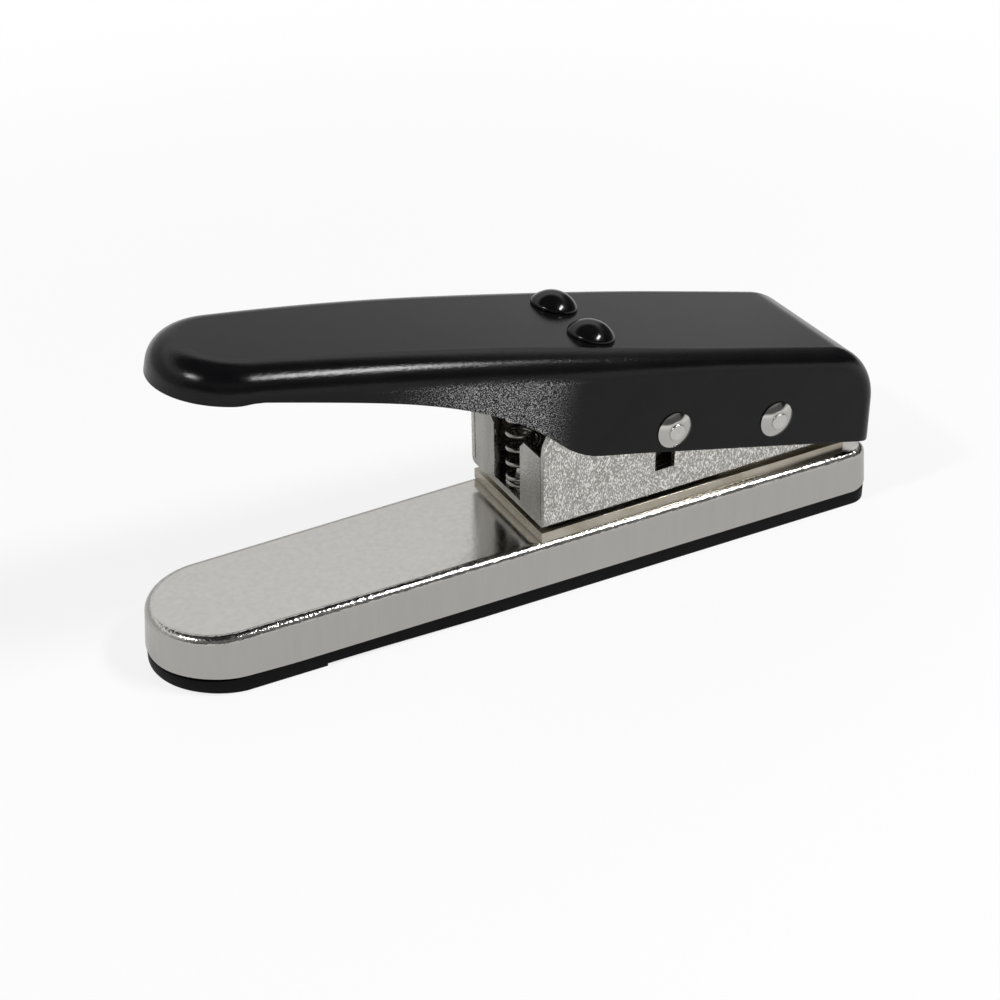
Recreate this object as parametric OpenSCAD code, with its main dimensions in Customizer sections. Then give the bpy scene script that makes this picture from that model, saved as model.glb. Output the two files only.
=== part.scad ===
// Hand punch for guitar picks: a pressed base, a folded bracket that carries a pick-shaped punch over
// its die, and a drawn lever on a rear hinge. +X points to the rear, +Z up, and z = 0 is the table.

/* [Base] */
// Length of the base, nose to rear
base_len = 177.8; // [165:0.2:195]
// Width of the round nose of the base
base_nose_w = 32; // [30:0.2:36]
// Width of the base at its rear end
base_rear_w = 37.2; // [35.4:0.2:40]
// Radius of the two rear corners, seen from above
base_corner_r = 5; // [3.5:0.5:8]
// Rounding of the upper edge of the base
base_edge_r = 2.6; // [1.2:0.2:3]
// How far the sides of the base lean out towards the cover
base_flare = 0.7; // [0:0.1:1.2]
// Height of the metal part of the base
tray_h = 10.7; // [9.5:0.1:14]
// Sheet thickness of the metal base
tray_t = 1; // [0.8:0.1:1.4]
// Height of the plastic cover that shows under the base
cover_h = 3.7; // [3:0.1:5]
// Thickness of the cover's floor
cover_t = 1.6; // [1.2:0.1:2.2]
// Distance of the cover's edge inside the base's edge
cover_in = 0.2; // [0.1:0.1:0.8]
// Thickness of the lip that holds the cover in the base
lip_t = 1.2; // [0.9:0.1:1.8]
// How far the lip reaches up into the base
lip_h = 4; // [2.5:0.25:5]
// Gap between the lip and the base wall
lip_gap = 0.3; // [0.2:0.05:0.6]
// Depth of the thumb relief under the cover
relief_d = 0.6; // [0.3:0.1:1]
// Length of the thumb relief
relief_len = 37; // [20:1:45]
// Distance of the thumb relief from the nose
relief_from_nose = 33.8; // [25:0.5:45]

/* [Pick and cut] */
// Length of the pick
pick_len = 30; // [27:0.25:32]
// Width of the pick
pick_w = 26; // [23:0.25:28]
// Radius of the pick's tip
pick_tip_r = 5; // [3:0.25:7]
// Distance from the pick's tip back to the drive pin
pick_ahead = 18; // [16:0.25:20]
// Clearance around the punch in the die and the guide
cut_gap = 0.2; // [0.1:0.05:0.3]
// Extra room around the pick where it drops into the base
drop_gap = 1; // [0.5:0.25:2]
// How far the punch stands above the card slot at rest
punch_lift = 0.4; // [0.2:0.1:1]

/* [Card slot and plates] */
// Thickness of the die plate
die_t = 2.6; // [2:0.1:4]
// Height of the slot that takes the card
slot_h = 1.6; // [1:0.1:2.4]
// Thickness of the plate that guides the punch
guide_t = 5; // [3.5:0.25:7]
// Width of metal left in front of and behind the pick in the guide
guide_land = 3.8; // [3.2:0.2:5]
// Distance of the die plate's edge inside the bracket's side
die_inset = 1; // [0.3:0.1:1.5]
// Distance of the spacer's edge inside the bracket's side
spacer_inset = 4; // [2:0.25:5]

/* [Bracket] */
// Sheet thickness of the folded bracket
sheet_t = 1.6; // [1.2:0.1:2]
// Room between the pick's side and the bracket wall
side_room = 2.7; // [1.6:0.1:3]
// Distance from the hinge to the rear end of the bracket
bracket_behind = 23.4; // [20:0.2:24.4]
// Height of the two front tabs
tab_h = 17.9; // [14:0.1:20]
// Gap between the two front tabs
tab_gap = 12.4; // [10.5:0.2:15]
// Corner cut on the tabs
tab_cut = 1.9; // [0.5:0.1:2.5]
// Seam between a tab and the wall beside it
seam = 0.3; // [0.2:0.1:0.6]
// Height of the bracket wall at the front
wall_h = 25; // [23.5:0.1:25.6]
// Setback of the wall's top corner from its front edge
wall_back = 4.6; // [2:0.2:6]
// Height of wall left above the hinge pin
wall_over_hinge = 6.5; // [5:0.1:8]
// Height of the bracket wall at its rear end
wall_rear_h = 8; // [5:0.25:10]
// Width of the upright slot for the drive pin
drive_slot_w = 5.2; // [4.9:0.1:6]
// Room under and over the drive pin's travel in its slot
drive_slot_room = [2.2, 0.4];

/* [Pins and lever] */
// Diameter of the two pins
pin_d = 4; // [3:0.1:4.4]
// Radial clearance of a pin in its hole
pin_gap = 0.05; // [0.02:0.01:0.08]
// Distance of the hinge from the rear end of the base
hinge_from_rear = 30.8; // [29.8:0.1:33]
// Distance from the drive pin back to the hinge pin
drive_dx = 27.9; // [26:0.1:30]
// Height of the drive pin above the hinge pin at rest
drive_dz = 5.1; // [4:0.1:6]
// Press angle at the end of the stroke, in degrees
press_deg = 15; // [10:0.5:15]
// Outer diameter of the cone washers
washer_d = 8.7; // [7.5:0.1:10]
// Height of the cone washers
washer_h = 1.5; // [1:0.1:2]
// How far a pin's riveted end stands out of its washer
pin_proud = 0.2; // [0.1:0.05:0.5]
// Diameter of the spacer rings between bracket and handle
ring_d = 7.2; // [6:0.1:8]
// End play of the spacer rings
ring_play = 0.15; // [0.1:0.05:0.3]
// Diameter of the sleeve between the bracket walls
sleeve_d = 8; // [6.4:0.1:9]

/* [Handle] */
// Gap between the bracket wall and the inside of the handle
handle_gap = 1.7; // [1.5:0.1:3.5]
// Sheet thickness of the handle
handle_t = 1.2; // [0.9:0.1:1.6]
// Tilt of the handle at rest, nose up, in degrees
handle_tilt = 13.6; // [11:0.1:14.5]
// Height of the handle's top above the hinge
top_rise = 16.1; // [15.8:0.1:18]
// Width of the round nose of the handle
nose_w = 33.8; // [31:0.2:38]
// Rounding of the handle's upper edges
edge_r = 4.2; // [3:0.1:5]
// Setback of the handle's nose behind the base's nose
nose_back = 7.2; // [2:0.1:12]
// Setback of the handle's rear from the base's rear
rear_back = 1.3; // [1:0.1:4]
// Radius where the top rolls down at the rear
rear_roll = 16; // [10:0.25:18]
// Radius of the lower rear corners of the sides
heel_r = 2; // [1:0.25:4]
// Radius of the downward bow of the grip
bow_r = 790; // [450:10:1500]
// Distance from the hinge to where the bow starts
bow_start = 54; // [48:0.2:70]
// Distance from the hinge to where the sides start to draw in
taper_start = 33; // [33:0.5:60]
// Depth of the sides below the hinge at the rear
skirt_rear = 7; // [5.5:0.1:7.5]
// Depth of the sides below the hinge at the front of the mechanism
skirt_front = 7.1; // [5.5:0.1:9]
// Distance from the hinge to where the sides start to rise
skirt_end = 46.5; // [40:0.5:52]
// Length of the bend where the sides start to rise
ramp_bend = 12; // [6:0.5:16]
// Rise of the sides' edge at the end of that bend, for each length
ramp_slope = 0.6; // [0.3:0.05:0.8]
// Length over which the edge then eases off along the grip
skirt_ramp = 92; // [60:1:120]
// Height of the grip's lower edge above the hinge line
grip_v = 7; // [4:0.1:8]
// Depth of the step in the grip's lower edge at the nose
nose_lip = 0.7; // [0.4:0.1:2]
// Length of that step
lip_run = 6.4; // [4:0.2:10]
// Fall of the edge from that step to the tip, for each length
lip_slope = 0.14; // [0:0.02:0.2]

/* [Spring and its seats] */
// Outer diameter of the return spring
spring_d = 8.2; // [7:0.1:9]
// Wire diameter of the spring
wire_d = 1.1; // [0.9:0.05:1.2]
// Length of the spring at rest
spring_len = 33.8; // [31:0.1:36]
// Number of open turns
open_turns = 7.5; // [6:0.5:8]
// Number of close turns at each end
close_turns = 1.5; // [1:0.5:2]
// Gap between the close turns
close_gap = 0.55; // [0.5:0.05:0.8]
// Gap between the spring and the guide plate
spring_room = 1.6; // [1:0.1:3]
// Setback of the spring behind the tabs' front face
spring_back = 0.2; // [0.1:0.1:1]
// Diameter of the pegs inside the spring's ends
peg_d = 4.6; // [4:0.1:5]
// Length of the pegs inside the spring's ends
peg_h = 5; // [3:0.25:6]
// Thickness of the plate under the handle's top
plate_t = 1.5; // [1:0.1:2]
// Width of the plate under the handle's top
plate_w = 25; // [24:0.5:27]
// Gap between that plate and the handle's top
plate_gap = 0.15; // [0.1:0.05:0.3]

/* [Dome rivets] */
// Distance from the hinge forward to the dome rivets
dome_ahead = 47.9; // [44:0.1:50]
// Distance between the two dome rivets
dome_pitch = 16.4; // [14:0.1:17]
// Diameter of the domes
dome_d = 10.6; // [8:0.1:11.4]
// Height of the domes
dome_h = 4.2; // [2:0.1:5]

/* [Screws] */
// Diameter of the bracket and carrier screws
screw_d = 4; // [3:0.1:4.4]
// Diameter of the guide screws
small_screw_d = 2.5; // [2:0.1:3]
// Clearance around a screw in its hole
screw_gap = 0.1; // [0.05:0.05:0.25]
// Distance between the bracket screws across the base
screw_pitch = 16; // [13:0.5:17]
// Thickness of the hex nuts
nut_h = 3.2; // [2.4:0.1:3.6]
// Half the length of the block that carries the punch
carrier_half = 10; // [9:0.25:10.5]
// Metal under the pin slot in the carrier
carrier_under = 1.8; // [1.2:0.1:3]
// Metal over the pin slot in the carrier
carrier_over = 3; // [2:0.1:4]
// Gap left between carrier and guide at the end of the stroke
stop_gap = 0.4; // [0.2:0.05:0.8]
// Distance of the carrier screws from the drive pin
carrier_screw_dx = 6.9; // [6.4:0.1:7.2]

/* [Hidden] */
$fn = 48;
nickel = "#c8c5bf";
steel = "#a9a9a6";
black = "#1c1c1e";
eps = 0.01;
touch = 0.02;

// Heights, from the table up to the hinge
tray_top = cover_h + tray_h;
die_top = tray_top + die_t;
slot_top = die_top + slot_h;
floor_top = slot_top + sheet_t;
guide_top = floor_top + guide_t;
pin_r = pin_d / 2;
hole_r = pin_r + pin_gap;
pin_reach = norm([drive_dx, drive_dz]);
pin_rise_deg = atan2(drive_dz, drive_dx);
stroke = pin_reach * (sin(pin_rise_deg) - sin(pin_rise_deg - press_deg));
carrier_low = guide_top + stroke + stop_gap;
carrier_slot_h = pin_d + 4 * pin_gap;
drive_z = carrier_low + carrier_under + carrier_slot_h / 2;
carrier_top = drive_z + carrier_slot_h / 2 + carrier_over;
hinge_z = drive_z - drive_dz;

// Places along the part, from the rear forward
rear_x = base_len / 2;
hinge_x = rear_x - hinge_from_rear;
drive_x = hinge_x - drive_dx;
pin_swing = pin_reach - drive_dx;
slot_mid_x = drive_x - pin_swing / 2;
pick_tip_x = drive_x - pick_ahead;
pick_rear_x = pick_tip_x + pick_len;
guide_front_x = pick_tip_x - guide_land;
guide_rear_x = pick_rear_x + guide_land;
spring_x = guide_front_x - spring_room - spring_d / 2;
front_x = spring_x - spring_d / 2 - spring_back;
bracket_rear_x = hinge_x + bracket_behind;
screw_head_d = 1.8 * screw_d;
screw_hole_d = screw_d + 2 * screw_gap;
small_hole_d = small_screw_d + 2 * screw_gap;
nut_d = 2 * screw_d;
spacer_front_x = guide_rear_x + 2;
screw_xs = [spacer_front_x + nut_d / 2 + 0.4, bracket_rear_x - nut_d / 2 - 1.4];
guide_screw_xs = [guide_front_x + 2.3, guide_rear_x - 2.3];
small_head_d = 1.75 * small_screw_d;

// Widths
bracket_in = pick_w + 2 * side_room;
bracket_w = bracket_in + 2 * sheet_t;
handle_in = bracket_w + 2 * handle_gap;
handle_w = handle_in + 2 * handle_t;
guide_w = bracket_in - 0.4;
carrier_w = bracket_in - 2;
guide_screw_y = guide_w / 2 - small_head_d / 2 - 0.5;
tab_w = bracket_in / 2 - seam - tab_gap / 2;

// Handle in its own frame: u runs to the rear from the hinge, v up, level when the tilt is taken out
function to_handle(x, z) = [
    (x - hinge_x) * cos(handle_tilt) - (z - hinge_z) * sin(handle_tilt),
    (x - hinge_x) * sin(handle_tilt) + (z - hinge_z) * cos(handle_tilt)];
function top_v(u) = top_rise - (u < -bow_start ? pow(u + bow_start, 2) / (2 * bow_r) : 0);
handle_rear_x = rear_x - rear_back;
nose_mid_v = 7;
nose_u = (-rear_x + nose_back - hinge_x - nose_mid_v * sin(handle_tilt)) / cos(handle_tilt);
nose_c = nose_u + nose_w / 2;
function half_w(u) = u > -taper_start ? handle_w / 2
    : handle_w / 2 + (nose_w - handle_w) / 2 * pow((u + taper_start) / (nose_c + taper_start), 2);
side_steps = 6;
side_us = concat([-taper_start, -(taper_start + bow_start) / 2],
    [for (i = [0 : side_steps]) -bow_start + (nose_c + bow_start) * i / side_steps]);
roll_v = top_rise - rear_roll;
roll_u = (handle_rear_x - rear_roll - hinge_x - roll_v * sin(handle_tilt)) / cos(handle_tilt);
roll_in = rear_roll - edge_r;
shell_low = -skirt_front - 2 * edge_r;
heel_cut = heel_r / tan(45 - handle_tilt / 2);
heel_corner_u = (handle_rear_x - hinge_x + skirt_rear * sin(handle_tilt)) / cos(handle_tilt);
heel_c = [heel_corner_u - heel_cut, heel_r - skirt_rear];
ramp_steps = 12;
bend_steps = 4;
lip_steps = 5;
lip_u = nose_c - lip_run / 4;
ramp_u = -skirt_end - ramp_bend;
ramp_v = ramp_bend * ramp_slope / 2 - skirt_front;
ramp_pow = ramp_slope * skirt_ramp / (grip_v - ramp_v);
function grip_edge(u) = grip_v - (grip_v - ramp_v) * pow(1 - min((ramp_u - u) / skirt_ramp, 1), ramp_pow);
function lip_drop(u) = let (t = min(max((lip_u - u) / lip_run + 0.5, 0), 1))
    nose_lip * t * t * (3 - 2 * t) + lip_slope * max(lip_u - u, 0);
function edge_point(u) = [u, grip_edge(u) - lip_drop(u)];
spring_top = floor_top + spring_len;
dome_u = -dome_ahead;
plate_rear_u = dome_u + dome_d / 2 + 1;
plate_front_u = to_handle(spring_x, spring_top)[0] - spring_d / 2 - 2.5;
seat_d = spring_d + 1;
plate_v = top_v(plate_front_u) - handle_t - plate_gap;
plate_under_z = hinge_z + (plate_v - plate_t - (spring_x - hinge_x) * sin(handle_tilt)) / cos(handle_tilt);

// Point where the straight side leaves the disc round c, drawn in a touch so that the two overlap
function side_point(c, r, n) = c + (r - touch) * n;
// Direction from two discs' centres to the straight line that touches both
function side_normal(a, ra, b, rb) = let (
    lean = atan2(b[1] - a[1], b[0] - a[0]) + acos((ra - rb) / norm(b - a)))
    [cos(lean), sin(lean)];

// Round nose, straight sides that touch it, and two rounded rear corners, all drawn in by inset
module base_plan(inset = 0) {
    nose_r = base_nose_w / 2;
    corner_y = base_rear_w / 2 - base_corner_r;
    a = [-rear_x + nose_r, 0];
    b = [rear_x - base_corner_r, corner_y];
    n = side_normal(a, nose_r, b, base_corner_r);
    pa = side_point(a, nose_r - inset, n);
    pb = side_point(b, base_corner_r - inset, n);
    translate(a) circle(nose_r - inset);
    for (s = [-1, 1]) translate([b[0], s * corner_y]) circle(base_corner_r - inset);
    translate([b[0] - base_corner_r, -corner_y]) square([2 * base_corner_r - inset, 2 * corner_y]);
    polygon([pa, pb, [pb[0], -pb[1]], [pa[0], -pa[1]]]);
}

// The pick between two heights: a round back, a small round tip and straight sides between them
module pick(z0, z1, grow = 0) {
    back_r = pick_w / 2;
    a = [pick_tip_x + pick_tip_r, 0];
    b = [pick_rear_x - back_r, 0];
    n = side_normal(a, pick_tip_r, b, back_r);
    pa = side_point(a, pick_tip_r + grow, n);
    pb = side_point(b, back_r + grow, n);
    plate(z0, z1) translate(a) circle(pick_tip_r + grow);
    plate(z0, z1) translate(b) circle(back_r + grow);
    plate(z0, z1) polygon([a, pa, pb, b, [pb[0], -pb[1]], [pa[0], -pa[1]]]);
}

module plate(z0, z1) {
    translate([0, 0, z0]) linear_extrude(z1 - z0) children();
}

module box_x(x0, x1, half_y, z0, z1) {
    translate([x0, -half_y, z0]) cube([x1 - x0, 2 * half_y, z1 - z0]);
}

module bar_y(d, y0, y1) {
    translate([0, y0, 0]) rotate([-90, 0, 0]) cylinder(d = d, h = y1 - y0);
}

module side_cut(y0, y1) {
    translate([0, y1, 0]) rotate([90, 0, 0]) linear_extrude(y1 - y0) children();
}

module on_handle() {
    translate([hinge_x, 0, hinge_z]) rotate([0, handle_tilt, 0]) children();
}

module at_hinge() {
    translate([hinge_x, 0, hinge_z]) children();
}

module at_drive() {
    translate([drive_x, 0, drive_z]) children();
}

module at_bracket_screws() {
    for (x = screw_xs, s = [-1, 1]) translate([x, s * screw_pitch / 2, 0]) children();
}

module at_guide_screws() {
    for (x = guide_screw_xs, s = [-1, 1]) translate([x, s * guide_screw_y, 0]) children();
}

module at_domes() {
    for (s = [-1, 1]) translate([dome_u, s * dome_pitch / 2, 0]) children();
}

// Base
module rounded_tray() {
    edge_steps = 4;
    hull() {
        plate(cover_h, cover_h + eps) base_plan(-base_flare, $fn = 72);
        plate(tray_top - base_edge_r - eps, tray_top - base_edge_r) base_plan($fn = 72);
        for (i = [1 : edge_steps]) {
            a = 90 * i / edge_steps;
            z = tray_top - base_edge_r * (1 - sin(a));
            plate(z - eps, z) base_plan(base_edge_r * (1 - cos(a)), $fn = 72);
        }
    }
}

module tray_cavity() {
    hull() {
        plate(cover_h - 1, cover_h) base_plan(tray_t - base_flare);
        plate(tray_top - 2 * tray_t - eps, tray_top - 2 * tray_t) base_plan(tray_t);
        plate(tray_top - tray_t - eps, tray_top - tray_t) base_plan(2 * tray_t);
    }
}

module base_tray() {
    color(nickel) difference() {
        rounded_tray();
        tray_cavity();
        pick(tray_top - 2 * tray_t, tray_top + 1, drop_gap);
        at_bracket_screws() plate(0, tray_top + 1) circle(d = screw_hole_d);
    }
}

module bottom_cover() {
    relief_x = -rear_x + relief_from_nose;
    lip_out = tray_t + lip_gap - base_flare / 2;
    color(black) difference() {
        union() {
            plate(0, cover_h) base_plan(cover_in - base_flare);
            plate(cover_t, cover_h + lip_h) base_plan(lip_out);
        }
        plate(cover_t, cover_h + lip_h + 1) base_plan(lip_out + lip_t);
        box_x(relief_x, relief_x + relief_len, base_rear_w, -1, relief_d);
    }
}

// Plates of the cutting head
module die_plate() {
    color(steel) difference() {
        box_x(front_x, bracket_rear_x, bracket_w / 2 - die_inset, tray_top, die_top);
        pick(tray_top - 1, die_top + 1, cut_gap);
        at_bracket_screws() plate(tray_top - 1, die_top + 1) circle(d = screw_hole_d);
    }
}

module slot_spacer() {
    color(steel) difference() {
        box_x(spacer_front_x, bracket_rear_x, bracket_w / 2 - spacer_inset, die_top, slot_top);
        at_bracket_screws() plate(die_top - 1, slot_top + 1) circle(d = screw_hole_d);
    }
}

module guide_plate() {
    color(steel) difference() {
        box_x(guide_front_x, guide_rear_x, guide_w / 2, floor_top, guide_top);
        pick(floor_top - 1, guide_top + 1, cut_gap);
        at_guide_screws() plate(floor_top - 1, guide_top + 1) circle(d = small_hole_d);
    }
}

// Bracket: a floor, two walls and two front tabs folded from one sheet
module wall_outline() {
    top_z = slot_top + wall_h;
    tab_z = slot_top + tab_h;
    corner_steps = 4;
    corner = [for (i = [0 : corner_steps]) let (a = 90 * i / corner_steps)
        [front_x + wall_back * (1 - cos(a)), tab_z + (top_z - tab_z) * sin(a)]];
    polygon(concat([[front_x, slot_top]], corner, [
        [drive_x + drive_slot_w, top_z],
        [hinge_x, hinge_z + wall_over_hinge],
        [hinge_x + wall_over_hinge, hinge_z + wall_over_hinge],
        [bracket_rear_x, slot_top + wall_rear_h],
        [bracket_rear_x, slot_top]]));
}

module drive_slot_outline() {
    low = drive_z - stroke - pin_r - drive_slot_room[0];
    high = drive_z + pin_r + drive_slot_room[1];
    translate([slot_mid_x - drive_slot_w / 2, low]) square([drive_slot_w, high - low]);
}

module front_tab() {
    y0 = tab_gap / 2;
    z1 = slot_top + tab_h;
    translate([front_x, 0, 0]) rotate([90, 0, 90]) linear_extrude(sheet_t) polygon([
        [y0, slot_top], [y0 + tab_w, slot_top], [y0 + tab_w, z1], [y0 + tab_cut, z1], [y0, z1 - tab_cut]]);
}

module punch_bracket() {
    color(nickel) difference() {
        union() {
            box_x(front_x, bracket_rear_x, bracket_w / 2, slot_top, floor_top);
            for (s = [0, 1]) mirror([0, s, 0]) {
                side_cut(bracket_in / 2, bracket_w / 2) wall_outline();
                front_tab();
            }
        }
        pick(slot_top - 1, floor_top + 1, cut_gap);
        side_cut(-bracket_w, bracket_w) drive_slot_outline();
        at_hinge() bar_y(2 * hole_r, -bracket_w, bracket_w);
        at_bracket_screws() plate(slot_top - 1, floor_top + 1) circle(d = screw_hole_d);
        at_guide_screws() plate(slot_top - 1, floor_top + 1) circle(d = small_hole_d);
        translate([spring_x, 0, slot_top - 1]) cylinder(d = peg_d / 2 + 2 * screw_gap, h = sheet_t + 2);
    }
}

// Screws, nuts and the sleeve that keeps the walls apart
module guide_screws() {
    head_h = 0.6 * small_screw_d;
    color(steel) at_guide_screws() {
        plate(slot_top, guide_top + eps) circle(d = small_screw_d);
        plate(guide_top, guide_top + head_h) circle(d = small_head_d);
    }
}

module bracket_screws() {
    head_h = 0.6 * screw_d;
    low = tray_top - tray_t;
    color(steel) at_bracket_screws() {
        plate(low - eps, floor_top + nut_h) circle(d = screw_d);
        plate(low - head_h, low) circle(d = screw_head_d);
    }
}

module bracket_nuts() {
    color(steel) at_bracket_screws() plate(floor_top, floor_top + nut_h) difference() {
        circle(d = nut_d, $fn = 6);
        circle(d = screw_d);
    }
}

module hinge_sleeve() {
    color(steel) at_hinge() difference() {
        bar_y(sleeve_d, -bracket_in / 2, bracket_in / 2);
        bar_y(2 * hole_r, -bracket_in, bracket_in);
    }
}

// Return spring: one wire wound from the bracket floor to the seat under the handle
spring_r = (spring_d - wire_d) / 2;
close_pitch = wire_d + close_gap;
turns = open_turns + 2 * close_turns;
wind_h = spring_len - 2 * wire_d;
open_pitch = (wind_h - 2 * close_turns * close_pitch) / open_turns;
rings_per_turn = 8;
wire_sides = 6;
ring_count = turns * rings_per_turn;
function wind_z(t) = t < close_turns ? t * close_pitch
    : t < close_turns + open_turns ? close_turns * close_pitch + (t - close_turns) * open_pitch
    : wind_h - (turns - t) * close_pitch;
function wire_at(t) = [spring_x + spring_r * cos(360 * t), spring_r * sin(360 * t),
    floor_top + wire_d + wind_z(t)];
wire_path = concat(
    [[spring_x + spring_r, 0, floor_top]],
    [for (i = [0 : ring_count]) wire_at(i / rings_per_turn)],
    [wire_at(turns) + [0, 0, wire_d]]);
function unit(v) = v / norm(v);
function wire_dir(p, i) = i == 0 || i == len(p) - 1 ? [0, 0, 1]
    : unit(unit(p[i + 1] - p[i]) + unit(p[i] - p[i - 1]));
// Each ring is held by the outward direction of the coil, so that the tube doesn't twist
function wire_ring(p, i) = let (
    d = wire_dir(p, i),
    o = [p[i][0] - spring_x, p[i][1], 0],
    w = unit(o - d * (o * d)),
    s = cross(d, w))
    [for (k = [0 : wire_sides - 1]) let (a = 360 * k / wire_sides)
        p[i] + wire_d / 2 * (cos(a) * w + sin(a) * s)];
wire_points = [for (i = [0 : len(wire_path) - 1]) each wire_ring(wire_path, i)];
function wire_skin(n, m) = [for (i = [0 : n - 2], k = [0 : m - 1]) let (
    a = i * m + k, b = i * m + (k + 1) % m)
    each [[a, a + m, b], [b, a + m, b + m]]];
function wire_cap(first, m, flip) = [for (k = [1 : m - 2])
    flip ? [first, first + k + 1, first + k] : [first, first + k, first + k + 1]];
wire_faces = concat(
    wire_cap(0, wire_sides, false),
    wire_skin(len(wire_path), wire_sides),
    wire_cap((len(wire_path) - 1) * wire_sides, wire_sides, true));
far_rings = rings_per_turn / 2;
function near_rings(i) = [i + far_rings : 0.25 : min(i + 2.5 * far_rings, ring_count)];
least_gap = min([for (i = [0 : ring_count], j = near_rings(i))
    norm(wire_at(i / rings_per_turn) - wire_at(j / rings_per_turn))]) - wire_d;
echo(spring_least_gap_mm = least_gap);

module return_spring() {
    color(steel) polyhedron(wire_points, wire_faces);
}

module spring_peg() {
    color(steel) translate([spring_x, 0, 0]) {
        plate(floor_top, floor_top + peg_h) circle(d = peg_d);
        plate(slot_top, floor_top + eps) circle(d = peg_d / 2);
    }
}

// Punch and the block that the drive pin moves
module at_carrier_screws() {
    for (s = [-1, 1]) translate([slot_mid_x + s * carrier_screw_dx, 0, 0]) children();
}

module punch() {
    color(steel) difference() {
        pick(slot_top + punch_lift, carrier_low);
        at_carrier_screws() plate(guide_top, carrier_low + 1) circle(d = screw_hole_d);
    }
}

module punch_carrier() {
    slot_l = carrier_slot_h + 2 * pin_swing;
    color(steel) difference() {
        translate([slot_mid_x, 0, 0])
            box_x(-carrier_half, carrier_half, carrier_w / 2, carrier_low, carrier_top);
        translate([slot_mid_x, 0, drive_z]) side_cut(-carrier_w, carrier_w) {
            for (s = [-1, 1]) translate([s * (slot_l - carrier_slot_h) / 2, 0]) circle(d = carrier_slot_h);
            square([slot_l - carrier_slot_h, carrier_slot_h], center = true);
        }
        at_carrier_screws() plate(carrier_low - 1, carrier_top + 1) circle(d = screw_hole_d);
    }
}

module carrier_screws() {
    color(steel) at_carrier_screws() {
        plate(guide_top + 1, carrier_top + eps) circle(d = screw_d);
        plate(carrier_top, carrier_top + screw_d) circle(d = 1.6 * screw_d);
    }
}

// Handle: a drawn shell with one rounding all the way round its top
module shell_post(u, y, top, low_u, r) {
    translate([u, y, top]) sphere(r);
    translate([low_u, y, shell_low - edge_r]) cylinder(r = r, h = eps);
}

module drawn_form(r) {
    nose_in = nose_w / 2 - edge_r;
    lean = tan(handle_tilt);
    hull($fn = 32) {
        for (a = [90 : 10 : 270]) {
            u = nose_c + nose_in * cos(a);
            shell_post(u, nose_in * sin(a), top_v(u) - edge_r, u, r);
        }
        for (s = [-1, 1]) {
            for (u = side_us) shell_post(u, s * (half_w(u) - edge_r), top_v(u) - edge_r, u, r);
            for (a = [0 : (90 - handle_tilt) / 6 : 90]) {
                u = roll_u + roll_in * sin(a);
                v = roll_v + roll_in * cos(a);
                shell_post(u, s * (handle_w / 2 - edge_r), v, u + lean * (v - shell_low), r);
            }
        }
    }
}

module handle_side() {
    lip_end = lip_u + lip_run / 2;
    bend = [for (i = [0 : bend_steps - 1]) let (t = i / bend_steps)
        [-skirt_end - ramp_bend * t, (ramp_v + skirt_front) * t * t - skirt_front]];
    ramp = [for (i = [0 : ramp_steps - 1]) edge_point(ramp_u + (lip_end - ramp_u) * i / ramp_steps)];
    lip = [for (i = [0 : lip_steps]) edge_point(lip_end - lip_run * i / lip_steps)];
    heel = [for (a = [-90 : (90 + handle_tilt) / 6 : handle_tilt + eps])
        heel_c + heel_r * [cos(a), sin(a)]];
    above = top_rise + edge_r;
    polygon(concat(bend, ramp, lip, [
        edge_point(nose_u - lip_run),
        [nose_u - lip_run, above],
        [heel_corner_u + heel_r, above],
        [heel_corner_u + heel_r, 0]],
        [for (i = [len(heel) - 1 : -1 : 0]) heel[i]]));
}

module handle_shell() {
    color(black) difference() {
        on_handle() difference() {
            intersection() {
                drawn_form(edge_r);
                side_cut(-handle_w, handle_w) handle_side();
            }
            drawn_form(edge_r - handle_t);
            at_domes() cylinder(d = screw_hole_d, h = 2 * top_rise);
        }
        at_hinge() bar_y(2 * hole_r, -handle_w, handle_w);
        at_drive() bar_y(2 * hole_r, -handle_w, handle_w);
    }
}

// Pins, cone washers and spacer rings
module through_pin() {
    end = handle_w / 2 + washer_h + pin_proud;
    bar_y(pin_d, -end, end);
}

module cone_washers() {
    for (s = [0, 1]) mirror([0, s, 0]) translate([0, handle_w / 2, 0]) rotate([-90, 0, 0]) difference() {
        cylinder(d1 = washer_d, d2 = pin_d + 0.8, h = washer_h);
        translate([0, 0, -1]) cylinder(r = hole_r, h = washer_h + 2);
    }
}

module spacer_rings() {
    for (s = [0, 1]) mirror([0, s, 0]) difference() {
        bar_y(ring_d, bracket_w / 2 + ring_play, handle_in / 2 - ring_play);
        bar_y(2 * hole_r, 0, handle_w);
    }
}

module hinge_pin() {
    color(steel) at_hinge() through_pin();
}

module hinge_washers() {
    color(nickel) at_hinge() cone_washers();
}

module hinge_rings() {
    color(steel) at_hinge() spacer_rings();
}

module drive_pin() {
    color(steel) at_drive() through_pin();
}

module drive_washers() {
    color(nickel) at_drive() cone_washers();
}

module drive_rings() {
    color(steel) at_drive() spacer_rings();
}

// Plate and seat under the handle, held by the two dome rivets
module dome_rivets() {
    ball_r = (pow(dome_d / 2, 2) + pow(dome_h, 2)) / (2 * dome_h);
    tail_v = plate_v - plate_t;
    tail_h = 1.2;
    color(black) on_handle() at_domes() {
        intersection() {
            translate([0, 0, top_rise + dome_h - ball_r]) sphere(ball_r);
            translate([0, 0, top_rise]) cylinder(d = dome_d, h = dome_h);
        }
        translate([0, 0, tail_v]) cylinder(d = screw_d, h = top_rise - tail_v + eps);
        translate([0, 0, tail_v - tail_h]) cylinder(d = 1.7 * screw_d, h = tail_h);
    }
}

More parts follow.
